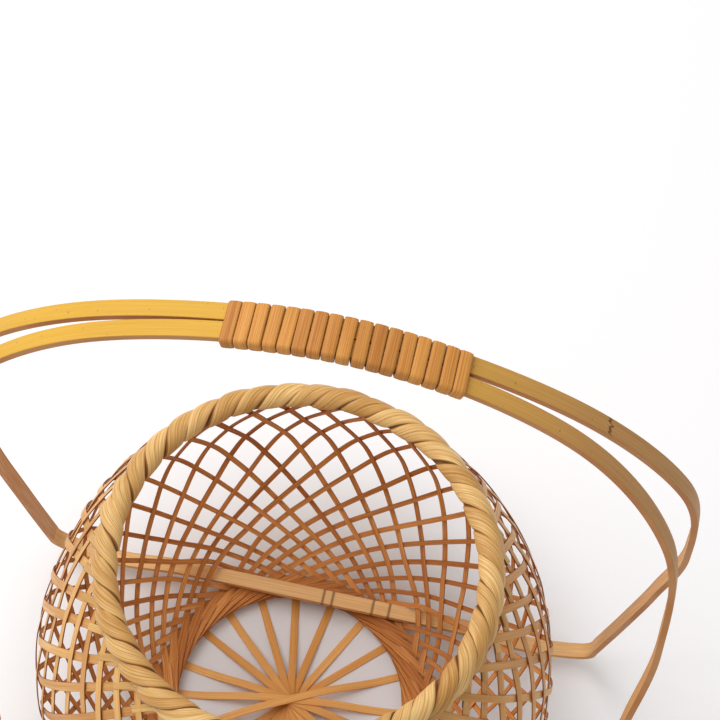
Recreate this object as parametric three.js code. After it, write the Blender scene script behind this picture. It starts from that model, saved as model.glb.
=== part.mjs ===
import * as THREE from 'three';

// A woven bamboo flower basket with a tall double handle.
// Millimetres. X runs along the handle, Y to the back, Z up from the table.

// Wall of the body, as radii and heights of its outline
const TOUCH_RADIUS = 65.5;
const RING_RADIUS = 69;
const RING_HEIGHT = 4.2;
const FLARE_RUN = 19;
const FLARE_RISE = 2;
const BELLY_RADIUS = 137;
const BELLY_HEIGHT = 77;
const BELLY_ROUND_LOW = 26;
const BELLY_ROUND_HIGH = 50;
const NECK_ROUND = 40;
const SHOULDER_ANGLE = THREE.MathUtils.degToRad(51);

// Weave: each strip climbs over its neighbours at the ring, then settles into one of two layers
const STRIP_COUNT = 40;
const STRIP_WIDTH = 3;
const STRIP_THICK = 0.6;
const RING_CLIMB = 0.125;
const RING_CLEAR = 22;
const RING_REACH = 28.8;
const LAYER_OFFSET = 0.9;
const LAYER_REACH = 45;

// Lean of the strips: they are drawn round the lower wall more than a taut ribbon would be
const DRAWN_RADIUS = 76;
const DRAWN_FULL = 45;
const DRAWN_FADE = 95;
const DRAWN_END = 150;

// Parting of the weave round the handle's lower bars
const BAR_ROW = 9;
const BAR_ANGLE = THREE.MathUtils.degToRad(49.5);
const BAR_LIFT = 0.4;
const PART_PUSH = 7.4;
const PART_REACH = 34;
const PART_HOLD = 20;
const PART_FADE = 58;
const PART_START_RADIUS = 71.6;
const PART_FULL_RADIUS = 87;
const PART_END = 125;
const DIP = 3;
const DIP_LENGTH = 6.5;
const DIP_WIDTH = 7;
const LOWEST = 1.3;

// Rim
const RIM_RADIUS = 95;
const RIM_HEIGHT = 188;
const ROPE_RADIUS = 5.5;

// Base
const BASE_COUNT = 10;
const BASE_WIDTH = 4.2;
const BASE_THICK = 0.5;
const BASE_REACH = 73;
const BASE_TURN = 2.5;
const PILE_RADIUS = 14;
const FOOT_RADIUS = 56;

// Handle
const HOOP_WIDTH = 8.4;
const HOOP_THICK = 3;
const HOOP_TOP_Y = 4.6;
const HOOP_SPREAD = 1.5;
const HOOP_SIDE = [[157, 28], [164, 108], [171, 169], [176, 240], [166, 323], [104, 389]];
const HOOP_TOP = 416;
const BEND_RUN = 20;

// Grip
const TURN_COUNT = 17;
const GRIP_LENGTH = 106;
const GRIP_OFFSET = 6;
const PEEL_WIDTH = 5.4;
const PEEL_THICK = 0.9;
const PEEL_SLACK = 0.4;

const GAP = 0.3;
const PITCH = (2 * Math.PI) / STRIP_COUNT;

// Solid swept through rings of corner points that run counter-clockwise about the way of travel
function sweep(rings, closed) {
  const sides = rings[0].length;
  const positions = rings.flat().flatMap((corner) => corner.toArray());
  const indices = [];
  const spans = closed ? rings.length : rings.length - 1;
  for (let span = 0; span < spans; span += 1) {
    const here = span * sides;
    const next = ((span + 1) % rings.length) * sides;
    for (let side = 0; side < sides; side += 1) {
      const beside = (side + 1) % sides;
      indices.push(here + side, here + beside, next + beside);
      indices.push(here + side, next + beside, next + side);
    }
  }
  if (!closed) {
    const end = (rings.length - 1) * sides;
    for (let side = 1; side < sides - 1; side += 1) {
      indices.push(0, side + 1, side);
      indices.push(end, end + side, end + side + 1);
    }
  }
  const geometry = new THREE.BufferGeometry();
  geometry.setAttribute('position', new THREE.Float32BufferAttribute(positions, 3));
  geometry.setIndex(indices);
  geometry.computeVertexNormals();
  return geometry;
}

// Flat strip along points, with its width along the given directions
function flatStrip(points, widthWays, width, thick, closed = false) {
  const count = points.length;
  const rings = points.map((point, index) => {
    const before = points[closed ? (index + count - 1) % count : Math.max(index - 1, 0)];
    const after = points[closed ? (index + 1) % count : Math.min(index + 1, count - 1)];
    const ahead = after.clone().sub(before).normalize();
    const across = widthWays[index].clone().projectOnPlane(ahead).setLength(width / 2);
    const out = ahead.clone().cross(across).setLength(thick / 2);
    const corner = (a, b) => point.clone().addScaledVector(across, a).addScaledVector(out, b);
    return [corner(1, -1), corner(1, 1), corner(-1, 1), corner(-1, -1)];
  });
  return sweep(rings, closed);
}

// Wall of the body: a meridian from the flat base ring out to the belly and in to the rim
const shoulder = new THREE.Vector2(Math.cos(SHOULDER_ANGLE), -Math.sin(SHOULDER_ANGLE));
const neck = new THREE.Vector2(RIM_RADIUS, RIM_HEIGHT);
neck.addScaledVector(shoulder, ROPE_RADIUS + STRIP_WIDTH / 2);
const meridian = new THREE.CurvePath();
meridian.add(new THREE.LineCurve(
  new THREE.Vector2(TOUCH_RADIUS, RING_HEIGHT),
  new THREE.Vector2(RING_RADIUS, RING_HEIGHT),
));
meridian.add(new THREE.CubicBezierCurve(
  new THREE.Vector2(RING_RADIUS, RING_HEIGHT),
  new THREE.Vector2(RING_RADIUS + FLARE_RUN, RING_HEIGHT + FLARE_RISE),
  new THREE.Vector2(BELLY_RADIUS, BELLY_HEIGHT - BELLY_ROUND_LOW),
  new THREE.Vector2(BELLY_RADIUS, BELLY_HEIGHT),
));
meridian.add(new THREE.CubicBezierCurve(
  new THREE.Vector2(BELLY_RADIUS, BELLY_HEIGHT),
  new THREE.Vector2(BELLY_RADIUS, BELLY_HEIGHT + BELLY_ROUND_HIGH),
  neck.clone().addScaledVector(shoulder, NECK_ROUND),
  neck,
));
const wallLength = meridian.getLength();

function wallAt(s) {
  const u = THREE.MathUtils.clamp(s / wallLength, 0, 1);
  const point = meridian.getPointAt(u);
  const ahead = meridian.getTangentAt(u);
  return { radius: point.x, height: point.y, slope: Math.atan2(ahead.y, ahead.x) };
}

// Radius times the sine of a strip's lean: constant along a taut ribbon, and larger on the lower wall
function drawAt(s) {
  const out = THREE.MathUtils.smoothstep(s, RING_RADIUS - TOUCH_RADIUS, DRAWN_FULL);
  const back = THREE.MathUtils.smoothstep(s, DRAWN_FADE, DRAWN_END);
  return TOUCH_RADIUS + (DRAWN_RADIUS - TOUCH_RADIUS) * out * (1 - back);
}

// Course of half a strip: straight across the ring, then up the wall at its lean
const COURSE_STEP = 0.5;
const course = [{ along: 0, s: 0, swept: 0, radius: TOUCH_RADIUS }];
while (course.at(-1).radius < RING_RADIUS) {
  const along = course.at(-1).along + COURSE_STEP;
  const radius = Math.hypot(TOUCH_RADIUS, along);
  course.push({ along, s: radius - TOUCH_RADIUS, swept: Math.atan2(along, TOUCH_RADIUS), radius });
}
while (course.at(-1).s < wallLength) {
  const last = course.at(-1);
  const lean = Math.asin(drawAt(last.s) / last.radius);
  const s = last.s + COURSE_STEP * Math.cos(lean);
  const swept = last.swept + (COURSE_STEP * Math.sin(lean)) / last.radius;
  course.push({ along: last.along + COURSE_STEP, s, swept, radius: wallAt(s).radius });
}
const courseLength = course.at(-1).along;

function courseAt(along) {
  const index = Math.min(Math.floor(along / COURSE_STEP), course.length - 2);
  const share = along / COURSE_STEP - index;
  const mix = (key) => THREE.MathUtils.lerp(course[index][key], course[index + 1][key], share);
  return { s: mix('s'), swept: mix('swept') };
}

// The handle's lower bars go through one row of openings, where the weave is parted round them
const barCourse = course.find((point) => point.swept >= (BAR_ROW * PITCH) / 2);
const barLean = Math.asin(drawAt(barCourse.s) / barCourse.radius);
const BAR_X = barCourse.radius * Math.cos(BAR_ANGLE);
const BAR_Y = barCourse.radius * Math.sin(BAR_ANGLE);
const BAR_Z = wallAt(barCourse.s).height + BAR_LIFT;
const openings = [BAR_ANGLE, Math.PI - BAR_ANGLE, Math.PI + BAR_ANGLE, -BAR_ANGLE];

function partRound(opening, side, angle, s, radius) {
  const turn = Math.atan2(Math.sin(angle - opening), Math.cos(angle - opening));
  const u = turn * radius;
  const v = s - barCourse.s;
  const away = u * Math.cos(barLean) - side * v * Math.sin(barLean);
  const along = side * u * Math.sin(barLean) + v * Math.cos(barLean);
  const near = Math.max(0, 1 - Math.abs(away) / PART_REACH);
  const fade = 1 - THREE.MathUtils.smoothstep(Math.abs(along), PART_HOLD, PART_FADE);
  const hold = fade * THREE.MathUtils.smoothstep(radius, PART_START_RADIUS, PART_FULL_RADIUS);
  const shift = Math.sign(away) * PART_PUSH * near * hold;
  return { turn: (shift * Math.cos(barLean)) / radius, rise: -side * shift * Math.sin(barLean) };
}

// Just inside those openings the weave dips under the bars, and just outside it rises over them
function dipAt({ x, y }) {
  const beyond = (Math.abs(x) - BAR_X) / DIP_LENGTH;
  const aside = (Math.abs(y) - BAR_Y) / DIP_WIDTH;
  return DIP * beyond * Math.exp((1 - beyond ** 2) / 2 - aside ** 2);
}

// Point of a strip and its facing; side is 1 on the inner half and -1 on the outer half
function stripPoint(touchAngle, along) {
  const side = along < 0 ? -1 : 1;
  const reach = Math.abs(along);
  const { s, swept } = courseAt(reach);
  let angle = touchAngle + side * swept;
  let parted = s;
  for (const opening of openings) {
    const { turn, rise } = partRound(opening, side, touchAngle + side * swept, s, wallAt(s).radius);
    angle += turn;
    parted += rise;
  }
  const wall = wallAt(parted);
  const climb = RING_CLIMB * Math.min(reach, RING_REACH);
  const settle = THREE.MathUtils.smoothstep(reach, RING_REACH, LAYER_REACH);
  const offset = side * THREE.MathUtils.lerp(climb, LAYER_OFFSET, settle);
  const facing = new THREE.Vector3(
    -Math.sin(wall.slope) * Math.cos(angle),
    -Math.sin(wall.slope) * Math.sin(angle),
    Math.cos(wall.slope),
  );
  const point = new THREE.Vector3(Math.cos(angle), Math.sin(angle), 0).multiplyScalar(wall.radius);
  point.setZ(wall.height).addScaledVector(facing, offset);
  point.setZ(Math.max(point.z + dipAt(point), LOWEST));
  return { point, facing };
}

// Stations along half a strip: close together at the ring, wider up the wall
function spaced(from, to, steps) {
  return Array.from({ length: steps }, (_, step) => from + ((to - from) * (step + 1)) / steps);
}

const RING_STEPS = 2;
const PART_STEPS = 7;
const UPPER_STEPS = 7;
const halfStations = [
  RING_CLEAR,
  ...spaced(RING_CLEAR, RING_REACH, RING_STEPS),
  ...spaced(RING_REACH, PART_END, PART_STEPS),
  ...spaced(PART_END, courseLength, UPPER_STEPS),
];
const stations = [...halfStations.map((along) => -along).reverse(), 0, ...halfStations];

function weaveStrip(index) {
  const touchAngle = (index + 0.5) * PITCH;
  const laid = stations.map((along) => stripPoint(touchAngle, along));
  const points = laid.map(({ point }) => point);
  const widthWays = laid.map(({ facing }, station) => {
    const before = points[Math.max(station - 1, 0)];
    const after = points[Math.min(station + 1, points.length - 1)];
    return facing.clone().cross(after.clone().sub(before));
  });
  return flatStrip(points, widthWays, STRIP_WIDTH, STRIP_THICK);
}

// Rope-like rim, as the ring that its strands fill
function rimRope() {
  const RIM_SIDES = 10;
  const RIM_STEPS = 60;
  return new THREE.TorusGeometry(RIM_RADIUS, ROPE_RADIUS, RIM_SIDES, RIM_STEPS).translate(0, 0, RIM_HEIGHT);
}

// Base strip: piled on the others at the centre, flat on the table at both tips
function baseStrip(level) {
  const FALL_STEPS = 4;
  const top = BASE_THICK / 2 + level * (BASE_THICK + GAP);
  const foot = BASE_THICK / 2;
  const reaches = [PILE_RADIUS, ...spaced(PILE_RADIUS, FOOT_RADIUS, FALL_STEPS), BASE_REACH];
  const points = [...reaches.map((reach) => -reach).reverse(), ...reaches].map((x) => {
    const fall = THREE.MathUtils.smoothstep(Math.abs(x), PILE_RADIUS, FOOT_RADIUS);
    return new THREE.Vector3(x, 0, THREE.MathUtils.lerp(top, foot, fall));
  });
  const widthWays = points.map(() => new THREE.Vector3(0, 1, 0));
  return flatStrip(points, widthWays, BASE_WIDTH, BASE_THICK);
}

// Outline of a hoop seen from the front: an arch with its legs, two bends and the lower bar
const mirrored = HOOP_SIDE.map(([x, z]) => new THREE.Vector2(-x, z));
const sideways = HOOP_SIDE.map(([x, z]) => new THREE.Vector2(x, z)).reverse();
const arch = new THREE.SplineCurve([...mirrored, new THREE.Vector2(0, HOOP_TOP), ...sideways]);
const [footX, footZ] = HOOP_SIDE[0];
const barEnd = new THREE.Vector2(footX - BEND_RUN, BAR_Z);
const bend = new THREE.QuadraticBezierCurve(
  new THREE.Vector2(footX, footZ),
  new THREE.Vector2(footX, BAR_Z),
  barEnd,
);

function hoopPoint(outline, side) {
  const rise = THREE.MathUtils.clamp((outline.y - BAR_Z) / (HOOP_TOP - BAR_Z), 0, 1);
  const y = HOOP_TOP_Y + (BAR_Y - HOOP_TOP_Y) * (1 - rise) ** HOOP_SPREAD;
  return new THREE.Vector3(outline.x, side * y, outline.y);
}

function handleHoop(side) {
  const ARCH_STEPS = 52;
  const BEND_STEPS = 4;
  const BAR_STEPS = 6;
  const right = bend.getPoints(BEND_STEPS);
  const left = right.map(({ x, y }) => new THREE.Vector2(-x, y)).reverse();
  const bar = new THREE.LineCurve(barEnd, left[0]).getPoints(BAR_STEPS);
  const outline = [
    ...arch.getSpacedPoints(ARCH_STEPS),
    ...right.slice(1),
    ...bar.slice(1),
    ...left.slice(1, -1),
  ];
  const points = outline.map((point) => hoopPoint(point, side));
  const widthWays = points.map(() => new THREE.Vector3(0, 1, 0));
  return flatStrip(points, widthWays, HOOP_WIDTH, HOOP_THICK, true);
}

// Grip binding: one peel wound round both hoops, square across the top and stepping on underneath
function gripBinding() {
  const CORNER_STEPS = 2;
  const CORNER_RADIUS = 0.9;
  const pitch = GRIP_LENGTH / TURN_COUNT;
  const halfZ = HOOP_THICK / 2 + PEEL_SLACK + PEEL_THICK / 2;
  const halfY = HOOP_TOP_Y + HOOP_WIDTH / 2 + 2 * PEEL_SLACK + PEEL_THICK / 2;
  const archLength = arch.getLength();
  const start = archLength / 2 + GRIP_OFFSET - GRIP_LENGTH / 2;
  const points = [];
  const widthWays = [];
  for (let turn = 0; turn < TURN_COUNT; turn += 1) {
    const u = (start + (turn + 0.5) * pitch) / archLength;
    const middle = arch.getPointAt(u);
    const ahead = arch.getTangentAt(u);
    for (const end of [-1, 1]) {
      for (const level of [1, -1]) {
        for (let step = 0; step <= CORNER_STEPS; step += 1) {
          const roll = ((step / CORNER_STEPS + (level < 0 ? 1 : 0)) * Math.PI) / 2;
          const y = end * (halfY - CORNER_RADIUS + CORNER_RADIUS * Math.sin(roll));
          const lift = end * (level * (halfZ - CORNER_RADIUS) + CORNER_RADIUS * Math.cos(roll));
          points.push(new THREE.Vector3(middle.x - ahead.y * lift, y, middle.y + ahead.x * lift));
          widthWays.push(new THREE.Vector3(ahead.x, 0, ahead.y));
        }
      }
    }
  }
  const binding = flatStrip(points, widthWays, PEEL_WIDTH, PEEL_THICK);
  const gap = leastGap(binding, binding.getAttribute('position').count / TURN_COUNT);
  console.log(`grip binding: least gap to itself ${gap.toFixed(2)} mm`);
  return binding;
}

// Least distance between corner points that lie about a turn apart along the peel
function leastGap(geometry, perTurn) {
  const corners = geometry.getAttribute('position');
  const here = new THREE.Vector3();
  const there = new THREE.Vector3();
  let least = Infinity;
  for (let first = 0; first < corners.count; first += 1) {
    here.fromBufferAttribute(corners, first);
    for (let second = first + perTurn / 2; second < corners.count; second += 1) {
      least = Math.min(least, here.distanceTo(there.fromBufferAttribute(corners, second)));
    }
  }
  return least;
}

const bamboo = (color, roughness) => new THREE.MeshStandardMaterial({ color, roughness, metalness: 0 });
const weaveBamboo = bamboo(0xb5793a, 0.6);
const rimBamboo = bamboo(0xd6ab5e, 0.5);
const baseBamboo = bamboo(0xc48d52, 0.6);
const hoopBamboo = bamboo(0xc9a14e, 0.4);
const rattan = bamboo(0xbf8140, 0.55);
const basket = new THREE.Group();

function addPiece(name, geometry, material) {
  const mesh = new THREE.Mesh(geometry, material);
  mesh.name = name;
  basket.add(mesh);
  return mesh;
}

const number = (index) => String(index + 1).padStart(2, '0');
for (let index = 0; index < STRIP_COUNT; index += 1) {
  addPiece(`weave_strip_${number(index)}`, weaveStrip(index), weaveBamboo);
}
addPiece('rim_rope', rimRope(), rimBamboo);
for (let index = 0; index < BASE_COUNT; index += 1) {
  const strip = addPiece(`base_strip_${number(index)}`, baseStrip(index), baseBamboo);
  strip.rotation.z = ((index + BASE_TURN) * Math.PI) / BASE_COUNT;
}
addPiece('handle_hoop_back', handleHoop(1), hoopBamboo);
addPiece('handle_hoop_front', handleHoop(-1), hoopBamboo);
addPiece('grip_binding', gripBinding(), rattan);

export default basket;
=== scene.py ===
import math

import bpy
import numpy as np
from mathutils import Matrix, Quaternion, Vector
from mathutils.geometry import interpolate_bezier


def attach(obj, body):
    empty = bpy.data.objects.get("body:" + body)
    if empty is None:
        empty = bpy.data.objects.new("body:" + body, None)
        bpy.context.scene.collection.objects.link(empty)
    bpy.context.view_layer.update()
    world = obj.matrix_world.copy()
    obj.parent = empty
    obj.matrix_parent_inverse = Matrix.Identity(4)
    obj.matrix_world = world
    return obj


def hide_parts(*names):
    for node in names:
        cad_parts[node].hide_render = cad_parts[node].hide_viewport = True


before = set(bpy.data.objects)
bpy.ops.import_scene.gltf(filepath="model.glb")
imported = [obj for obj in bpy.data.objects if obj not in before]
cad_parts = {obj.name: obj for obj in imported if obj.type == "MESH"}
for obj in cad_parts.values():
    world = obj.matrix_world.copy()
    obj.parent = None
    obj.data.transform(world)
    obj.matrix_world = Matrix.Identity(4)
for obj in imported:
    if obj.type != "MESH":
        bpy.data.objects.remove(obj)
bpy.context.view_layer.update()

# Base strips: ten flat strips of split bamboo that cross under the basket as its twenty spokes.
# They are piled one on another at the centre, and their tips lie on the table under the ring.
BASE_COUNT = 10
BASE_WIDTH = 0.0043
BASE_THICK = 0.0006
BASE_REACH = 0.073
BASE_TURN = 2.5
BASE_STATIONS = 61
BASE_WANDER = 0.0006
BASE_WAVE = 2
BASE_SKEW = math.radians(0.6)
PILE_STEP = 0.0008
PILE_RADIUS = 0.014
FOOT_RADIUS = 0.056
FOOT_TOP = 0.0008
BASE_PALE = (0.92, 0.51, 0.16)
BASE_DEEP = (0.76, 0.37, 0.095)
CHANCE_SEED = 7
ANY_PHASE = 6

# Points across a strip: share of its half width, and how far its skin lies below the middle there
STRIP_PROFILE = ((-1, 0.00018), (-0.8, 0.00004), (0, 0), (0.8, 0.00004), (1, 0.00018))
SHEET_MARGIN = 0.03
GRAIN_STEP = 2
MERGE_REACH = 0.00001
SMOOTH_ANGLE = math.radians(35)


def bend_strip(name, path, skin, width, thick, grain, finishes, profile=STRIP_PROFILE):
    """One flat strip bent along path with its skin facing along skin; grain picks its own streaks.

    The first finish is for the skin, and the second for the inner side and the edges."""
    path = np.asarray(path, float)
    ahead = np.gradient(path, axis=0)
    if np.allclose(path[0], path[-1], atol=MERGE_REACH):
        ahead[[0, -1]] = path[1] - path[-2]
    across = np.cross(skin, ahead)
    across /= np.linalg.norm(across, axis=1, keepdims=True)
    out = np.cross(ahead, across)
    out /= np.linalg.norm(out, axis=1, keepdims=True)
    shares, drops = np.array(profile).T
    half = np.broadcast_to(np.asarray(width, float) / 2, len(path))[:, None]
    crown = drops[:, None, None] * (half / half.max()) ** 2
    places = path + shares[:, None, None] * half * across - crown * out

    bpy.ops.object.select_all(action="DESELECT")
    bpy.ops.mesh.primitive_grid_add(x_subdivisions=len(path) - 1, y_subdivisions=len(shares) - 1)
    strip = bpy.context.object
    strip.name = name
    strip.data.name = name
    strip.data.vertices.foreach_set("co", places.ravel())
    inner = strip.data.attributes.new("inner", "FLOAT_VECTOR", "POINT")
    inner.data.foreach_set("vector", (places - thick * out).ravel())

    # The strip's own sheet runs in metres along it and as a share of the width across it
    sheet = strip.data.uv_layers["UVMap"].data
    uv = np.zeros(2 * len(sheet))
    sheet.foreach_get("uv", uv)
    uv = uv.reshape(-1, 2)
    length = np.linalg.norm(np.diff(path, axis=0), axis=1).sum()
    width_share = SHEET_MARGIN + (1 - 2 * SHEET_MARGIN) * uv[:, 1]
    uv = np.column_stack([uv[:, 0] * length, width_share + GRAIN_STEP * grain])
    sheet.foreach_set("uv", uv.ravel())
    for finish in finishes:
        strip.data.materials.append(finish)

    bpy.ops.object.mode_set(mode="EDIT")
    bpy.ops.mesh.select_all(action="SELECT")
    bpy.ops.mesh.remove_doubles(threshold=MERGE_REACH)
    bpy.ops.object.mode_set(mode="OBJECT")
    bpy.ops.object.modifier_add(type="SOLIDIFY")
    wall = strip.modifiers["Solidify"]
    wall.thickness = thick
    wall.offset = -1
    wall.material_offset = 1
    wall.material_offset_rim = 1
    bpy.ops.object.modifier_apply(modifier="Solidify")

    # The wall's second half of points is its inner side, which lies square under the skin
    places = np.zeros((len(strip.data.vertices), 3))
    strip.data.vertices.foreach_get("co", places.ravel())
    sunk = np.zeros_like(places)
    strip.data.attributes["inner"].data.foreach_get("vector", sunk.ravel())
    places[len(places) // 2:] = sunk[len(places) // 2:]
    strip.data.vertices.foreach_set("co", places.ravel())
    strip.data.attributes.remove(strip.data.attributes["inner"])
    bpy.ops.object.shade_smooth_by_angle(angle=SMOOTH_ANGLE)
    return strip


def add_node(finish, kind, sockets, output=0, **settings):
    """One node of a finish with its settings, its sockets linked or filled in; gives its output."""
    node = finish.node_tree.nodes.new(kind)
    for setting, value in settings.items():
        setattr(node, setting, value)
    for socket, value in sockets.items():
        if isinstance(value, bpy.types.NodeSocket):
            finish.node_tree.links.new(value, node.inputs[socket])
        else:
            node.inputs[socket].default_value = value
    return node.outputs[output]


def reckon(finish, operation, *values):
    """One step of arithmetic in a finish."""
    return add_node(finish, "ShaderNodeMath", dict(enumerate(values)), operation=operation)


def remap(finish, value, span, first, last):
    """Smooth change from first to last while value goes through span."""
    return add_node(
        finish, "ShaderNodeMapRange",
        {"Value": value, "From Min": span[0], "From Max": span[1], "To Min": first, "To Max": last},
        interpolation_type="SMOOTHSTEP",
    )


def strip_place(finish, axis):
    """Place on the strip's own sheet: X along it, Y across it."""
    sheet = add_node(finish, "ShaderNodeUVMap", {}, uv_map="UVMap")
    return add_node(finish, "ShaderNodeSeparateXYZ", {"Vector": sheet}, axis)


def from_middle(finish):
    """Distance from the middle line of the strip, as a share of its width."""
    width_share = reckon(finish, "FRACT", strip_place(finish, "Y"))
    return reckon(finish, "ABSOLUTE", reckon(finish, "SUBTRACT", width_share, 0.5))


def streaks(finish, along, across, detail):
    """Noise drawn out along the strip, by its changes per metre along and per width across."""
    sheet = add_node(finish, "ShaderNodeUVMap", {}, uv_map="UVMap")
    drawn_out = add_node(finish, "ShaderNodeMapping", {"Vector": sheet, "Scale": (along, across, 1)})
    return add_node(
        finish, "ShaderNodeTexNoise", {"Vector": drawn_out, "Scale": 1, "Detail": detail},
        noise_dimensions="2D",
    )


def stain(finish, share, colour, kind="MIX"):
    """Lays a colour over what the finish has so far, by a share from 0 to 1."""
    socket = finish.node_tree.nodes["Principled BSDF"].inputs["Base Color"]
    stained = add_node(
        finish, "ShaderNodeMixRGB",
        {"Fac": share, "Color1": socket.links[0].from_socket, "Color2": (*colour, 1)},
        blend_type=kind,
    )
    finish.node_tree.links.new(stained, socket)


FIBRE_CHANGES = 22
FIBRE_DETAIL = 4
FIBRE_SPAN = (0.35, 0.65)
FIBRE_BUMP = 0.35
FIBRE_DEPTH = 0.0003
TONE_CHANGES = (6, 0.37)
TONE_DETAIL = 2
TONE_SPAN = (0.3, 0.7)
# Where the painted shade along a strip's edges starts and is full, as a share off its middle
EDGE_SHADE_SPAN = (0.34, 0.5)
BAMBOO_SHINE = 0.25
ROUGH_SPAN = (0.3, 0.7)
ROUGH_MORE = 0.1
ROUGH_LESS = 0.06


def bamboo_finish(name, pale, deep, roughness, fibres=14, streak=0.32, edge_shade=0.5, drift=()):
    """Split bamboo: lengthwise fibres, a tone that changes from strip to strip, and painted shade along
    the edges.

    With drift, the tone goes from pale to deep along that stretch of the strip instead."""
    finish = bpy.data.materials.new(name)
    finish.use_nodes = True
    shader = finish.node_tree.nodes["Principled BSDF"]
    shader.inputs["Specular IOR Level"].default_value = BAMBOO_SHINE
    link = finish.node_tree.links.new
    if drift:
        tone = remap(finish, strip_place(finish, "X"), drift, 1, 0)
    else:
        tone = remap(finish, streaks(finish, *TONE_CHANGES, TONE_DETAIL), TONE_SPAN, 0, 1)
    toned = add_node(finish, "ShaderNodeMixRGB", {"Fac": tone, "Color1": (*deep, 1), "Color2": (*pale, 1)})
    link(toned, shader.inputs["Base Color"])
    fibre = streaks(finish, FIBRE_CHANGES, fibres, FIBRE_DETAIL)
    stain(finish, remap(finish, fibre, FIBRE_SPAN, streak, 0), deep, "MULTIPLY")
    # Painted shade: the tone deepens towards both edges of the strip.
    stain(finish, remap(finish, from_middle(finish), EDGE_SHADE_SPAN, 0, edge_shade), deep, "MULTIPLY")
    rough = remap(finish, fibre, ROUGH_SPAN, roughness + ROUGH_MORE, roughness - ROUGH_LESS)
    link(rough, shader.inputs["Roughness"])
    raised = add_node(
        finish, "ShaderNodeBump", {"Height": fibre, "Strength": FIBRE_BUMP, "Distance": FIBRE_DEPTH}
    )
    link(raised, shader.inputs["Normal"])
    return finish


def fit_piece(piece, slot, *nodes):
    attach(piece, "root")
    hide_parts(*nodes)


def smoothstep(value, low, high):
    share = np.clip((value - low) / (high - low), 0, 1)
    return share * share * (3 - 2 * share)


base_finish = bamboo_finish("base_bamboo", BASE_PALE, BASE_DEEP, roughness=0.5)
chance = np.random.default_rng(CHANCE_SEED)
for level in range(BASE_COUNT):
    x = np.linspace(-BASE_REACH, BASE_REACH, BASE_STATIONS)
    top = FOOT_TOP + level * PILE_STEP
    z = top + (FOOT_TOP - top) * smoothstep(np.abs(x), PILE_RADIUS, FOOT_RADIUS)
    wander = BASE_WANDER * chance.normal()
    y = wander * np.sin(x / BASE_REACH * BASE_WAVE + chance.uniform(0, ANY_PHASE))
    turn = (level + BASE_TURN) * math.pi / BASE_COUNT + BASE_SKEW * chance.normal()
    path = np.column_stack([
        x * math.cos(turn) - y * math.sin(turn),
        x * math.sin(turn) + y * math.cos(turn),
        z,
    ])
    skin = np.tile((0, 0, 1), (BASE_STATIONS, 1))
    spoke = bend_strip(
        f"spoke_{level + 1:02d}", path, skin, BASE_WIDTH, BASE_THICK, level, (base_finish, base_finish)
    )
    fit_piece(spoke, "base_bamboo", f"base_strip_{level + 1:02d}")

# Weave: forty long strips of split bamboo, skin side out. Each touches the ring round the base opening,
# rises both ways to the rim, and goes three over and three under the strips that it meets.
STRIP_COUNT = 40
PITCH = 2 * math.pi / STRIP_COUNT
STRIP_WIDTH = 0.0028
STRIP_THICK = 0.0006
STRIP_STATIONS = 261
WEAVE_DEPTH = 0.00065
FLOAT_ROWS = 3
FLOAT_SQUARE = 2.2
RING_CLIMB = -0.075
RING_REACH = 0.0288
LAYER_REACH = 0.045

# The wall's outline, from the ring over the belly to the rim
TOUCH_RADIUS = 0.0655
RING_RADIUS = 0.069
RING_HEIGHT = 0.0042
FLARE = (0.088, 0.0062)
BELLY_RADIUS = 0.138
BELLY_HEIGHT = 0.070
BELLY_LOW = 0.047
BELLY_HIGH = 0.108
BELLY_SHIFT = (0.0018, -0.0024)
RIM_RADIUS = 0.095
RIM_HEIGHT = 0.188
SHOULDER_ANGLE = math.radians(51)
NECK_ROUND = 0.0425
NECK_INSET = 0.003
BEND_POINTS = 200
RUN_POINTS = 4000

# The strips are drawn round the lower wall more than a taut ribbon would be
DRAWN_RADIUS = 0.076
DRAWN_FULL = 0.045
DRAWN_FADE = 0.095
DRAWN_END = 0.150

shoulder = np.array([math.cos(SHOULDER_ANGLE), -math.sin(SHOULDER_ANGLE)])
rim_centre = np.array([RIM_RADIUS, RIM_HEIGHT])
flare_bend = interpolate_bezier(
    (RING_RADIUS, RING_HEIGHT), FLARE,
    (BELLY_RADIUS, BELLY_LOW), (BELLY_RADIUS, BELLY_HEIGHT), BEND_POINTS,
)
shoulder_bend = interpolate_bezier(
    (BELLY_RADIUS, BELLY_HEIGHT), (BELLY_RADIUS, BELLY_HIGH),
    rim_centre + shoulder * NECK_ROUND, rim_centre + shoulder * NECK_INSET, BEND_POINTS,
)
outline = np.array([(TOUCH_RADIUS, RING_HEIGHT), *flare_bend, *shoulder_bend[1:]])
outline_run = np.concatenate([[0], np.cumsum(np.linalg.norm(np.diff(outline, axis=0), axis=1))])
run = np.linspace(0, outline_run[-1], RUN_POINTS)
radius = np.interp(run, outline_run, outline[:, 0])
height = np.interp(run, outline_run, outline[:, 1])
slope = np.arctan2(np.gradient(height), np.gradient(radius))

# Along the wall: the strips' lean, their length from the ring on, and the angle that they sweep
flat_run = RING_RADIUS - TOUCH_RADIUS
on_wall = run > flat_run
drawn = smoothstep(run, flat_run, DRAWN_FULL) * (1 - smoothstep(run, DRAWN_FADE, DRAWN_END))
lean_radius = TOUCH_RADIUS + (DRAWN_RADIUS - TOUCH_RADIUS) * drawn
lean = np.arcsin(lean_radius / np.maximum(radius, TOUCH_RADIUS))
reach = np.sqrt(np.maximum(radius ** 2 - TOUCH_RADIUS ** 2, 0))
swept = np.arccos(TOUCH_RADIUS / np.maximum(radius, TOUCH_RADIUS))
reach[on_wall] = reach[~on_wall][-1] + np.cumsum(run[1] / np.cos(lean[on_wall]))
swept[on_wall] = swept[~on_wall][-1] + np.cumsum(run[1] * np.tan(lean[on_wall]) / radius[on_wall])
top_row = math.floor(swept[-1] / (PITCH / 2))

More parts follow.
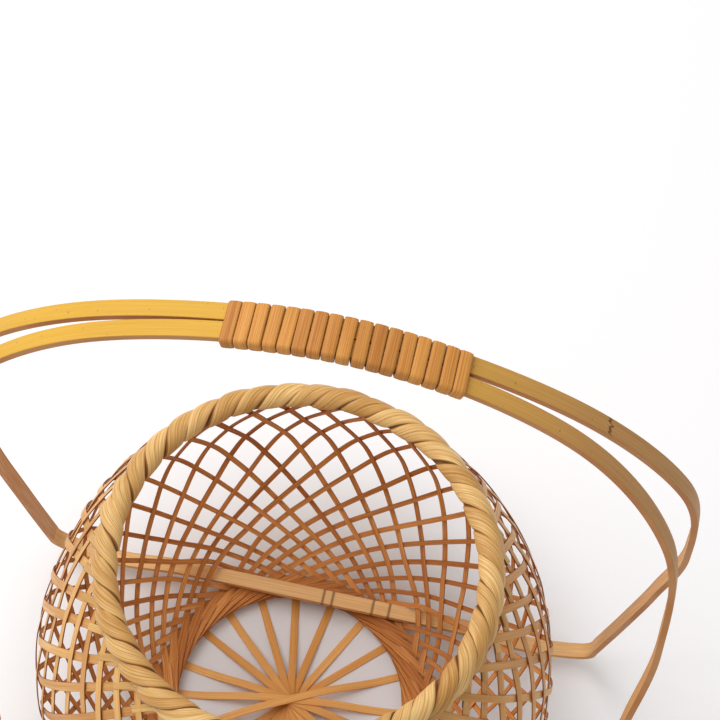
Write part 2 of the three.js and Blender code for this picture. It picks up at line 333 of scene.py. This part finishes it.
# The handle's bars go through four openings of one row, where the strips part and pass under and over them
BAR_ROW = 9
BAR_ANGLE = math.radians(49.5)
BAR_LIFT = 0.0004
PART_PUSH = 0.003
PART_REACH = 0.018
PART_HOLD = 0.008
PART_FADE = 0.036
PART_RADII = (0.0716, 0.082)
PART_SOFT = 0.002
DIP = 0.003
DIP_LENGTH = 0.0065
DIP_WIDTH = 0.007
LOWEST = 0.0014

bar_run, bar_radius, bar_lean, bar_height = (
    np.interp(BAR_ROW * PITCH / 2, swept, values) for values in (run, radius, lean, height)
)
BAR_X = bar_radius * math.cos(BAR_ANGLE)
BAR_Y = bar_radius * math.sin(BAR_ANGLE)
BAR_Z = bar_height + BAR_LIFT
openings = (BAR_ANGLE, math.pi - BAR_ANGLE, math.pi + BAR_ANGLE, -BAR_ANGLE)


def part_round(opening, side, turn, risen):
    """How far the strips move aside at an opening, as an angle and as a distance up the wall."""
    ring = np.interp(risen, run, radius)
    apart = ((turn - opening + math.pi) % (2 * math.pi) - math.pi) * ring
    beyond = risen - bar_run
    away = apart * math.cos(bar_lean) - side * beyond * math.sin(bar_lean)
    along = side * apart * math.sin(bar_lean) + beyond * math.cos(bar_lean)
    near = np.maximum(0, 1 - np.abs(away) / PART_REACH)
    hold = (1 - smoothstep(np.abs(along), PART_HOLD, PART_FADE)) * smoothstep(ring, *PART_RADII)
    shift = PART_PUSH * near * hold * np.clip(away / PART_SOFT, -1, 1)
    return shift * math.cos(bar_lean) / ring, -side * shift * math.sin(bar_lean)


def wall_point(turn, risen, offset):
    """Point of the wall at an angle and a distance up it, moved inwards, and the way the wall faces."""
    tilt = np.interp(risen, run, slope)
    ring = np.interp(risen, run, radius)
    facing = np.column_stack([-np.sin(tilt) * np.cos(turn), -np.sin(tilt) * np.sin(turn), np.cos(tilt)])
    place = np.column_stack([ring * np.cos(turn), ring * np.sin(turn), np.interp(risen, run, height)])
    place += facing * offset[:, None]
    place[:, :2] += smoothstep(ring, RIM_RADIUS, BELLY_RADIUS)[:, None] * BELLY_SHIFT
    beyond = (np.abs(place[:, 0]) - BAR_X) / DIP_LENGTH
    aside = (np.abs(place[:, 1]) - BAR_Y) / DIP_WIDTH
    place[:, 2] += DIP * beyond * np.exp((1 - beyond ** 2) / 2 - aside ** 2)
    place[:, 2] = np.maximum(place[:, 2], LOWEST)
    return place, facing


# Unevenness of the hand weaving: halves that rise clockwise lag behind, and strips wander and swell
LAG = 0.65
LAG_SWING = 0.2
LAG_REACH = (0.05, 0.18)
WANDER = 0.0006
WANDER_WAVES = ((1, 24), (0.6, 55))
WANDER_REACH = (0.05, 0.10)
RING_WIDEN = 0.0026
RING_WIDEN_REACH = (0.022, 0.058)
RIM_WIDEN = 0.0019
RIM_WIDEN_REACH = (0.16, 0.25)
CLOCKWISE_WIDEN = 0.7
SWELL = 0.06
SWELL_WAVE = 17
WEAVE_SKIN_PALE = (0.84, 0.495, 0.17)
WEAVE_SKIN_DEEP = (0.63, 0.305, 0.088)
WEAVE_FLESH_PALE = (0.80, 0.36, 0.10)
WEAVE_FLESH_DEEP = (0.55, 0.21, 0.05)
DARK_SHARE = (0.30, 0.22, 0.18)
EDGE_LINE_SOFT = 0.05


def darken(finish, share, deep):
    """Darkens a finish far below its deep tone, by a share from 0 to 1."""
    stain(finish, share, np.multiply(deep, DARK_SHARE))


def draw_edge_shade_lines(finish, deep, start, strength):
    """Painted shade: a dark line along both edges of a strip, from a distance off its middle on."""
    span = (start, start + EDGE_LINE_SOFT)
    darken(finish, remap(finish, from_middle(finish), span, 0, strength), deep)


weave_skin = bamboo_finish("weave_skin", WEAVE_SKIN_PALE, WEAVE_SKIN_DEEP, roughness=0.42)
weave_flesh = bamboo_finish(
    "weave_flesh", WEAVE_FLESH_PALE, WEAVE_FLESH_DEEP, roughness=0.6, streak=0.5, edge_shade=0.8
)
# Painted shade: dark lines along the edges of the strips' inner sides.
draw_edge_shade_lines(weave_flesh, WEAVE_FLESH_DEEP, start=0.42, strength=0.55)
for index in range(STRIP_COUNT):
    along = np.linspace(-reach[-1], reach[-1], STRIP_STATIONS)
    side = np.where(along < 0, -1, 1)
    distance = np.abs(along)
    turn = (index + 0.5) * PITCH + side * np.interp(distance, reach, swept)
    lag = (LAG - LAG_SWING * np.cos(turn)) * smoothstep(distance, *LAG_REACH)
    rows = np.interp(distance, reach, swept) / (PITCH / 2) + lag
    floats = np.sin(np.pi * (rows - top_row + FLOAT_ROWS - 0.5) / FLOAT_ROWS)
    over = np.clip(FLOAT_SQUARE * floats, -1, 1)
    climb = RING_CLIMB * np.minimum(distance, RING_REACH)
    settled = smoothstep(distance, RING_REACH, LAYER_REACH)
    offset = side * (climb + (WEAVE_DEPTH * over - climb) * settled)
    risen = np.interp(distance, reach, run)
    wave = sum(size * np.sin(along * rate + chance.uniform(0, ANY_PHASE)) for size, rate in WANDER_WAVES)
    drift = WANDER * (chance.normal() + wave) * smoothstep(distance, *WANDER_REACH)
    turn -= lag * PITCH * (side < 0)
    moves = [part_round(opening, side, turn, risen) for opening in openings]
    turn = turn + drift / np.interp(risen, run, radius) + sum(move[0] for move in moves)
    path, facing = wall_point(turn, risen + sum(move[1] for move in moves), offset)
    widen = RIM_WIDEN * np.where(side > 0, 1, CLOCKWISE_WIDEN) * smoothstep(distance, *RIM_WIDEN_REACH)
    widen += RING_WIDEN * (1 - smoothstep(distance, *RING_WIDEN_REACH))
    swell = 1 + SWELL * np.sin(along * SWELL_WAVE + chance.uniform(0, ANY_PHASE))
    strip = bend_strip(
        f"woven_strip_{index + 1:02d}", path, -facing, (STRIP_WIDTH + widen) * swell, STRIP_THICK, index,
        (weave_skin, weave_flesh),
    )
    fit_piece(strip, "weave_bamboo", f"weave_strip_{index + 1:02d}")

# Rim: the strip ends that rise anticlockwise are bent over a core of the other ends, outside to inside.
# Each strand is a strip end with a second split close beside it, shown as a crease with painted shade down
# its middle, and together they look like a rope.
ROPE_CORE = 0.0042
CORE_SEGMENTS = 120
CORE_SIDES = 16
NECK_LENGTH = 0.006
LEAD_TURN = 11.8
STRAND_WIDTH = 0.0100
STRAND_START = 0.0042
STRAND_SPREAD = (0.10, 0.42)
STRAND_THICK = 0.0009
STRAND_STATIONS = 49
STRAND_TILT = 0.0005
STRAND_SKEW = 0.5
STRAND_SWELL = 0.0003
STRAND_UNEVEN = 0.05
STRAND_GRAIN = 50
STRAND_PROFILE = (
    (-1, 0.0019), (-0.88, 0.0010), (-0.7, 0.00055), (-0.4, 0.00018), (-0.05, 0.00004), (0, 0.0003),
    (0.05, 0.00004), (0.4, 0.00018), (0.7, 0.00055), (0.88, 0.0010), (1, 0.0019),
)
# Distance from the middle of the rope, angle round it, angle the skin faces, and advance along the rim
STRAND_COURSE = (
    (0.0200, -51, 39, -17.2),
    (0.0092, -47, 37, -12.0),
    (0.0078, -10, 26, -8.8),
    (0.0069, 32, 42, -4.2),
    (0.0061, 84, 88, 0.2),
    (0.0060, 150, 150, 4.0),
    (0.0050, 205, 205, 6.4),
)
RIM_SKIN_PALE = (0.90, 0.62, 0.26)
RIM_SKIN_DEEP = (0.65, 0.37, 0.115)
# The rim's core and the strands' inner sides: bamboo flesh darkened as painted shade inside the rope
RIM_FLESH_SHADE_PALE = (0.40, 0.19, 0.06)
RIM_FLESH_SHADE_DEEP = (0.26, 0.11, 0.03)
# Painted shade in the crease down the middle of each strand: how far it reaches, and how dark it is
SPLIT_SHADE_SPAN = (0.008, 0.024)
SPLIT_SHADE_STRENGTH = 0.85


def smooth_through(points, count):
    """Smooth curve through the points, as even steps between each two."""
    ends = np.asarray(points, float)
    ends = np.vstack([2 * ends[0] - ends[1], ends, 2 * ends[-1] - ends[-2]])
    places = np.linspace(0, len(points) - 1, count)
    first = np.minimum(places.astype(int), len(points) - 2)
    share = (places - first)[:, None]
    a, b, c, d = ends[first], ends[first + 1], ends[first + 2], ends[first + 3]
    return b + share / 2 * (c - a + share * (2 * a - 5 * b + 4 * c - d + share * (3 * (b - c) + d - a)))


def strand_path(turn, swell):
    """Path of a strand over the rope from an angle of the rim, and the way its skin faces."""
    away, roll, face, advance = smooth_through(STRAND_COURSE, STRAND_STATIONS).T
    away = away + swell
    roll, face, advance = np.radians([roll, face, advance])
    angle = turn + advance
    ring = RIM_RADIUS + away * np.cos(roll)
    path = np.column_stack([ring * np.cos(angle), ring * np.sin(angle), RIM_HEIGHT + away * np.sin(roll)])
    skin = np.column_stack([np.cos(face) * np.cos(angle), np.cos(face) * np.sin(angle), np.sin(face)])
    return path, skin


rim_skin = bamboo_finish(
    "rim_skin", RIM_SKIN_PALE, RIM_SKIN_DEEP, roughness=0.4, fibres=26, streak=0.62, edge_shade=0.85
)
# Painted shade: dark lines in the seams between the rim's strands.
draw_edge_shade_lines(rim_skin, RIM_SKIN_DEEP, start=0.39, strength=0.85)
# Painted shade: a dark line down the middle of each strand, in the crease between its two splits.
darken(rim_skin, remap(rim_skin, from_middle(rim_skin), SPLIT_SHADE_SPAN, SPLIT_SHADE_STRENGTH, 0), RIM_SKIN_DEEP)
rim_flesh_painted_shade = bamboo_finish("rim_flesh_painted_shade", RIM_FLESH_SHADE_PALE, RIM_FLESH_SHADE_DEEP, roughness=0.6)
neck_turn = np.interp(reach[-1] - NECK_LENGTH / math.cos(lean[-1]), reach, swept)
tilted_profile = [(share, drop + STRAND_TILT * share) for share, drop in STRAND_PROFILE]
spread = smoothstep(np.linspace(0, 1, STRAND_STATIONS), *STRAND_SPREAD)
strands = []
for index in range(STRIP_COUNT):
    lead = math.radians(LEAD_TURN + STRAND_SKEW * chance.normal())
    path, skin = strand_path((index + 0.5) * PITCH + neck_turn + lead, STRAND_SWELL * chance.normal())
    full_width = STRAND_WIDTH * (1 + STRAND_UNEVEN * chance.normal())
    width = STRAND_START + (full_width - STRAND_START) * spread
    strands.append(bend_strip(
        "strand", path, skin, width, STRAND_THICK, STRAND_GRAIN + index, (rim_skin, rim_flesh_painted_shade),
        tilted_profile,
    ))
bpy.ops.object.select_all(action="DESELECT")
bpy.ops.mesh.primitive_torus_add(
    location=(0, 0, RIM_HEIGHT), major_radius=RIM_RADIUS, minor_radius=ROPE_CORE,
    major_segments=CORE_SEGMENTS, minor_segments=CORE_SIDES,
)
rope = bpy.context.object
rope.name = "rope_rim"
# The core's dark tone is painted shade, seen in the gaps between the strands.
rope.data.materials.append(rim_flesh_painted_shade)
bpy.ops.object.transform_apply(location=True)
for strand in strands:
    strand.select_set(True)
bpy.ops.object.join()
fit_piece(rope, "rim_bamboo", "rim_rope")

# Handle hoops: two closed hoops of flat split bamboo, skin side out, one behind the other. They lie side
# by side at the top, part on the way down, and cross the body as straight bars just above the ring.
HOOP_WIDTH = 0.0084
HOOP_THICK = 0.0030
HOOP_PROFILE = (
    (-1, 0.0003), (-0.95, 0.0001), (-0.7, 0.00004), (0, 0), (0.7, 0.00004), (0.95, 0.0001), (1, 0.0003)
)
HOOP_GRAIN = 150
HOOP_TOP = np.array((0.0099, 0.4180))
HOOP_TOP_Y = 0.0045
HOOP_SET_BACK = 0.0031
HOOP_HEIGHTS = (0.028, 0.108, 0.169, 0.240, 0.323, 0.389)
# How far the hoops stand out at those heights: alike on the left, and each with its own bend on the right
HOOP_LEFT = (0.1515, 0.160, 0.167, 0.172, 0.1625, 0.0965)
HOOP_RIGHT = {
    "back": (0.1615, 0.1715, 0.1785, 0.1845, 0.171, 0.1095),
    "front": (0.161, 0.1695, 0.174, 0.1785, 0.167, 0.111),
}
# How late the hoops part on the way down, on the left and on the right
HOOP_PARTING = {"back": (1.50, 1.29), "front": (1.56, 1.20)}
LEFT_BEND = 0.032
RIGHT_BEND = 0.0155
# The bars bow to the front near their ends: where the bow starts, is full, fades and ends
BAR_BOW = 0.0024
RIGHT_BOW = (0.080, 0.122, 0.128, 0.160)
LEFT_BOW = (0.075, 0.112, 0.122, 0.155)
BEND_STATIONS = 13
ARCH_STATIONS = 241
BAR_STATIONS = 61


def hoop_arch(right):
    """Arch of a hoop from its left foot over the top to its right foot, seen from the front."""
    up_left = np.column_stack([-np.array(HOOP_LEFT), HOOP_HEIGHTS])
    down_right = np.column_stack([right, HOOP_HEIGHTS])[::-1]
    return smooth_through([*up_left, HOOP_TOP, *down_right], ARCH_STATIONS)


def foot_bend(foot, bar_end):
    """Bend at the foot of a leg, from the leg into the bar."""
    share = np.linspace(0, 1, BEND_STATIONS)[:, None]
    corner = np.array((foot[0], BAR_Z))
    return foot * (1 - share) ** 2 + corner * 2 * share * (1 - share) + bar_end * share ** 2


def hoop_path(arch, side, parting):
    """Closed path of a hoop's skin, and the way the skin faces."""
    right_end = np.array((arch[-1, 0] - RIGHT_BEND, BAR_Z))
    left_end = np.array((arch[0, 0] + LEFT_BEND, BAR_Z))
    bar = np.linspace(right_end, left_end, BAR_STATIONS)
    x, z = np.vstack([
        arch, foot_bend(arch[-1], right_end)[1:], bar[1:], foot_bend(arch[0], left_end)[::-1][1:]
    ]).T
    fall = np.clip((HOOP_TOP[1] - z) / (HOOP_TOP[1] - BAR_Z), 0, 1)
    top_y = HOOP_SET_BACK + side * HOOP_TOP_Y
    y = top_y + (side * BAR_Y - top_y) * fall ** np.where(x < HOOP_TOP[0], *parting)
    low = z < HOOP_HEIGHTS[0]
    for out, (start, full, fade, end) in ((x, RIGHT_BOW), (-x, LEFT_BOW)):
        y -= BAR_BOW * low * smoothstep(out, start, full) * (1 - smoothstep(out, fade, end))
    middle = np.column_stack([x, y, z])
    ahead = np.gradient(middle, axis=0)
    ahead[[0, -1]] = middle[1] - middle[-2]
    skin = np.column_stack([-ahead[:, 2], np.zeros(len(ahead)), ahead[:, 0]])
    skin /= np.linalg.norm(skin, axis=1, keepdims=True)
    return middle + skin * HOOP_THICK / 2, skin


# Distances along a hoop run from its left foot over the top and back along the bar. The skin turns deeper
# from the top on, as painted shade over the right leg and the bar; the inner side turns paler at the right
# foot and has dark rings at the bamboo's joints, and a crooked crack crosses the skin of the back hoop.
HOOP_SKIN_PALE = (0.70, 0.40, 0.045)
HOOP_SKIN_DEEP = (0.58, 0.305, 0.10)
HOOP_SKIN_SHADE_DRIFT = (0.48, 0.62)
HOOP_FLESH_PALE = (0.88, 0.55, 0.24)
HOOP_FLESH_DEEP = (0.69, 0.38, 0.155)
HOOP_FLESH_DRIFT = (1.03, 0.95)
JOINT_RINGS = {"back": (1.1455, 1.1545, 1.1765, 1.1815), "front": (0.842, 1.203)}
RING_SPAN = (0.0003, 0.0011)
RING_STRENGTH = 0.75
CRACKS = {"back": (0.6045,), "front": ()}
CRACK_BENDS = 7
CRACK_DETAIL = 1
CRACK_DRIFT = 0.007
CRACK_SPAN = (0.0004, 0.0011)
CRACK_ENDS = (0.26, 0.38)
CRACK_STRENGTH = 0.9
SPECK_CHANGES = (900, 8)
SPECK_DETAIL = 0
SPECK_SPAN = (0.86, 0.89)


def draw_joint_ring(finish, deep, distance):
    """Dark ring at one of the bamboo's joints, at a distance along it."""
    away = reckon(finish, "ABSOLUTE", reckon(finish, "SUBTRACT", strip_place(finish, "X"), distance))
    darken(finish, remap(finish, away, RING_SPAN, RING_STRENGTH, 0), deep)


def draw_crack(finish, deep, distance):
    """Short crooked crack across the middle of a strip at a distance along it."""
    crooked = reckon(finish, "MULTIPLY", streaks(finish, 0, CRACK_BENDS, CRACK_DETAIL), CRACK_DRIFT)
    spot = reckon(finish, "ADD", strip_place(finish, "X"), crooked)
    away = reckon(finish, "ABSOLUTE", reckon(finish, "SUBTRACT", spot, distance + CRACK_DRIFT / 2))
    inside = remap(finish, from_middle(finish), CRACK_ENDS, CRACK_STRENGTH, 0)
    darken(finish, reckon(finish, "MULTIPLY", remap(finish, away, CRACK_SPAN, 1, 0), inside), deep)


def draw_specks(finish, deep, strength):
    """Small dark specks, drawn out along the strip."""
    specks = streaks(finish, *SPECK_CHANGES, SPECK_DETAIL)
    darken(finish, remap(finish, specks, SPECK_SPAN, 0, strength), deep)


arches = {place: hoop_arch(right) for place, right in HOOP_RIGHT.items()}
for place, side in (("back", 1), ("front", -1)):
    path, skin = hoop_path(arches[place], side, HOOP_PARTING[place])
    # The skin's deeper tone past the top is painted shade on the hoop's right half and its bar.
    hoop_skin = bamboo_finish(
        f"hoop_skin_{place}", HOOP_SKIN_PALE, HOOP_SKIN_DEEP, roughness=0.5, fibres=30, streak=0.2,
        edge_shade=0.3, drift=HOOP_SKIN_SHADE_DRIFT,
    )
    for distance in CRACKS[place]:
        draw_crack(hoop_skin, HOOP_SKIN_DEEP, distance)
    draw_specks(hoop_skin, HOOP_SKIN_DEEP, strength=0.5)
    hoop_flesh = bamboo_finish(
        f"hoop_flesh_{place}", HOOP_FLESH_PALE, HOOP_FLESH_DEEP, roughness=0.55, fibres=24,
        drift=HOOP_FLESH_DRIFT,
    )
    for distance in JOINT_RINGS[place]:
        draw_joint_ring(hoop_flesh, HOOP_FLESH_DEEP, distance)
    hoop = bend_strip(
        f"hoop_{place}", path, skin, HOOP_WIDTH, HOOP_THICK, HOOP_GRAIN + side, (hoop_skin, hoop_flesh),
        HOOP_PROFILE,
    )
    fit_piece(hoop, "hoop_bamboo", f"handle_hoop_{place}")

# Grip binding: one long peel of rattan, wound seventeen times round both hoops at the top.
# Each turn lies square across the skin of the hoops and steps on to the next underneath.
TURN_COUNT = 17
GRIP_LENGTH = 0.106
GRIP_MIDDLE = 0.0136
GRIP_FORWARD = 0.0009
PEEL_WIDTH = 0.0058
PEEL_THICK = 0.0011
PEEL_CORNER = 0.0021
PEEL_SLACK = 0.0009
PEEL_UNEVEN = 0.00012
PEEL_SKEW = 0.008
PEEL_GRAIN = 200
PEEL_PROFILE = (
    (-1, 0.0005), (-0.9, 0.00022), (-0.6, 0.00006), (0, 0), (0.6, 0.00006), (0.9, 0.00022), (1, 0.0005)
)
PEEL_SKIN_PALE = (0.80, 0.39, 0.09)
PEEL_SKIN_DEEP = (0.57, 0.25, 0.055)
PEEL_CORE_PALE = (0.88, 0.66, 0.40)
PEEL_CORE_DEEP = (0.72, 0.48, 0.25)
RUN_STEPS = 9
CORNER_STEPS = 6
LOOSE_TURN = 9
LOOSE_GAP = 0.0005
LOOK_AHEAD = 0.001

half_y = HOOP_TOP_Y + HOOP_WIDTH / 2 + PEEL_SLACK + PEEL_THICK - PEEL_CORNER
half_z = HOOP_THICK / 2 + PEEL_SLACK + PEEL_THICK - PEEL_CORNER
run_y = np.linspace(-half_y, half_y, RUN_STEPS + 1)[1:-1]


def peel_corner(y, z, start):
    """Quarter turn round a corner of the two hoops: places across and up, and the way the peel faces."""
    roll = np.radians(np.linspace(start, start - 90, CORNER_STEPS))
    return np.column_stack([y + PEEL_CORNER * np.cos(roll), z + PEEL_CORNER * np.sin(roll), roll])


def peel_run(y, roll):
    """Straight run across the two hoops, above or below: places across and up, and the way it faces."""
    lift = math.copysign(half_z + PEEL_CORNER, roll)
    return np.column_stack([y, np.full_like(y, lift), np.full_like(y, roll)])


front = np.vstack([peel_corner(-half_y, -half_z, 270), peel_corner(-half_y, half_z, 180)])
back = np.vstack([peel_corner(half_y, half_z, 90), peel_corner(half_y, -half_z, 0)])
over_top = peel_run(run_y, math.pi / 2)
under = peel_run(run_y[::-1], -math.pi / 2)
one_turn = np.vstack([front, over_top, back, under])
step_on = np.concatenate([np.zeros(len(one_turn) - len(under)), np.linspace(0, 1, len(under) + 2)[1:-1]])
arch = (arches["back"] + arches["front"]) / 2
arch_run = np.concatenate([[0], np.cumsum(np.linalg.norm(np.diff(arch, axis=0), axis=1))])


def on_arch(spot):
    """Point of the handle's arch at a distance along it, seen from the front."""
    return np.column_stack([np.interp(spot, arch_run, arch[:, column]) for column in (0, 1)])


grip_start = np.interp(GRIP_MIDDLE, arch[:, 0], arch_run) - GRIP_LENGTH / 2
turns = np.arange(TURN_COUNT + 1)
spots = grip_start + (turns + 0.5) * GRIP_LENGTH / TURN_COUNT
spots += PEEL_UNEVEN * chance.normal(size=TURN_COUNT + 1) + LOOSE_GAP * (turns >= LOOSE_TURN)
skews = PEEL_SKEW * chance.normal(size=TURN_COUNT)
peel_path = []
peel_skin = []
for turn in range(TURN_COUNT):
    y, lift, roll = one_turn.T
    spot = spots[turn] + step_on * (spots[turn + 1] - spots[turn]) + skews[turn] * y
    middle = on_arch(spot)
    ahead = on_arch(spot + LOOK_AHEAD) - middle
    ahead /= np.linalg.norm(ahead, axis=1, keepdims=True)
    peel_path.append(np.column_stack([
        middle[:, 0] - ahead[:, 1] * lift,
        HOOP_SET_BACK - GRIP_FORWARD + y,
        middle[:, 1] + ahead[:, 0] * lift,
    ]))
    peel_skin.append(np.column_stack([
        -ahead[:, 1] * np.sin(roll), np.cos(roll), ahead[:, 0] * np.sin(roll)
    ]))
rattan_peel = bamboo_finish(
    "rattan_peel", PEEL_SKIN_PALE, PEEL_SKIN_DEEP, roughness=0.5, fibres=24, streak=0.5
)
# Painted shade: dark lines in the gaps between the turns of the peel.
draw_edge_shade_lines(rattan_peel, PEEL_SKIN_DEEP, start=0.42, strength=0.8)
draw_specks(rattan_peel, PEEL_SKIN_DEEP, strength=0.3)
rattan_core = bamboo_finish("rattan_core", PEEL_CORE_PALE, PEEL_CORE_DEEP, roughness=0.6)
binding = bend_strip(
    "grip_winding", np.vstack(peel_path), np.vstack(peel_skin), PEEL_WIDTH, PEEL_THICK, PEEL_GRAIN,
    (rattan_peel, rattan_core), PEEL_PROFILE,
)
fit_piece(binding, "rattan_peel", "grip_binding")

# Stage: a plain pale floor under one soft lamp and an even white sky, seen from the photograph's angle.
# Away from the basket the floor glows a little where it is seen; near it the glow is left out, which
# paints a soft shadow round and under the basket, and the floor keeps the basket's shadow as well.
FLOOR_SIZE = 8
FLOOR_COLOUR = (0.83, 0.82, 0.825)
FLOOR_ROUGH = 0.9
FLOOR_SHINE = 0.2
FLOOR_GLOW = 0.18
PAINTED_SHADOW_RADII = (0.11, 0.20)
WHITE = (1, 1, 1, 1)
SKY_STRENGTH = 0.5
LAMP_PLACE = Vector((-1.2, 0.35, 1.9))
LAMP_SIZE = 2.4
LAMP_POWER = 42
AIM = Vector((0, 0, 0.150))

bpy.ops.object.select_all(action="DESELECT")
bpy.ops.mesh.primitive_plane_add(size=FLOOR_SIZE)
floor = bpy.context.object
floor.name = "floor"
pale_floor = bpy.data.materials.new("pale_floor")
pale_floor.use_nodes = True
floor_inputs = pale_floor.node_tree.nodes["Principled BSDF"].inputs
floor_inputs["Base Color"].default_value = (*FLOOR_COLOUR, 1)
floor_inputs["Roughness"].default_value = FLOOR_ROUGH
floor_inputs["Specular IOR Level"].default_value = FLOOR_SHINE
floor_inputs["Emission Color"].default_value = WHITE
floor_place = add_node(pale_floor, "ShaderNodeTexCoord", {}, "Object")
from_basket = add_node(pale_floor, "ShaderNodeVectorMath", {0: floor_place}, "Value", operation="LENGTH")
# Painted shadow: the glow is left out near the basket, so the floor is darker round and under it.
glow_beyond_painted_shadow = remap(pale_floor, from_basket, PAINTED_SHADOW_RADII, 0, FLOOR_GLOW)
seen = add_node(pale_floor, "ShaderNodeLightPath", {}, "Is Camera Ray")
for ray in ("Is Glossy Ray", "Is Transmission Ray"):
    seen = reckon(pale_floor, "MAXIMUM", seen, add_node(pale_floor, "ShaderNodeLightPath", {}, ray))
seen_glow_beyond_painted_shadow = reckon(pale_floor, "MULTIPLY", seen, glow_beyond_painted_shadow)
pale_floor.node_tree.links.new(seen_glow_beyond_painted_shadow, floor_inputs["Emission Strength"])
floor.data.materials.append(pale_floor)

studio = bpy.data.worlds.new("studio")
studio.use_nodes = True
studio.node_tree.nodes["Background"].inputs["Color"].default_value = WHITE
studio.node_tree.nodes["Background"].inputs["Strength"].default_value = SKY_STRENGTH
bpy.context.scene.world = studio

bpy.ops.object.light_add(type="AREA", location=LAMP_PLACE)
lamp = bpy.context.object
lamp.name = "key"
lamp.data.shape = "DISK"
lamp.data.size = LAMP_SIZE
lamp.data.energy = LAMP_POWER
lamp.rotation_euler = (AIM - LAMP_PLACE).to_track_quat("-Z", "Y").to_euler()

CAMERA_AZIMUTH = math.radians(8.96)
CAMERA_ELEVATION = math.radians(66.32)
CAMERA_DISTANCE = 1.30573
CAMERA_YAW = math.radians(-1.07)
CAMERA_PITCH = math.radians(5.39)
CAMERA_ROLL = math.radians(-3.73)
FOCAL_PIXELS = 2544.43
IMAGE_PIXELS = 720
to_camera = Vector((
    math.sin(CAMERA_AZIMUTH) * math.cos(CAMERA_ELEVATION),
    -math.cos(CAMERA_AZIMUTH) * math.cos(CAMERA_ELEVATION),
    math.sin(CAMERA_ELEVATION),
))
pointing = to_camera.to_track_quat("Z", "Y") @ Quaternion((0, 1, 0), CAMERA_YAW)
pointing = pointing @ Quaternion((1, 0, 0), CAMERA_PITCH) @ Quaternion((0, 0, 1), -CAMERA_ROLL)
bpy.ops.object.camera_add(location=AIM + to_camera * CAMERA_DISTANCE, rotation=pointing.to_euler())
camera = bpy.context.object
camera.data.lens = FOCAL_PIXELS / IMAGE_PIXELS * camera.data.sensor_width
bpy.context.scene.camera = camera
bpy.context.scene.view_settings.view_transform = "Standard"
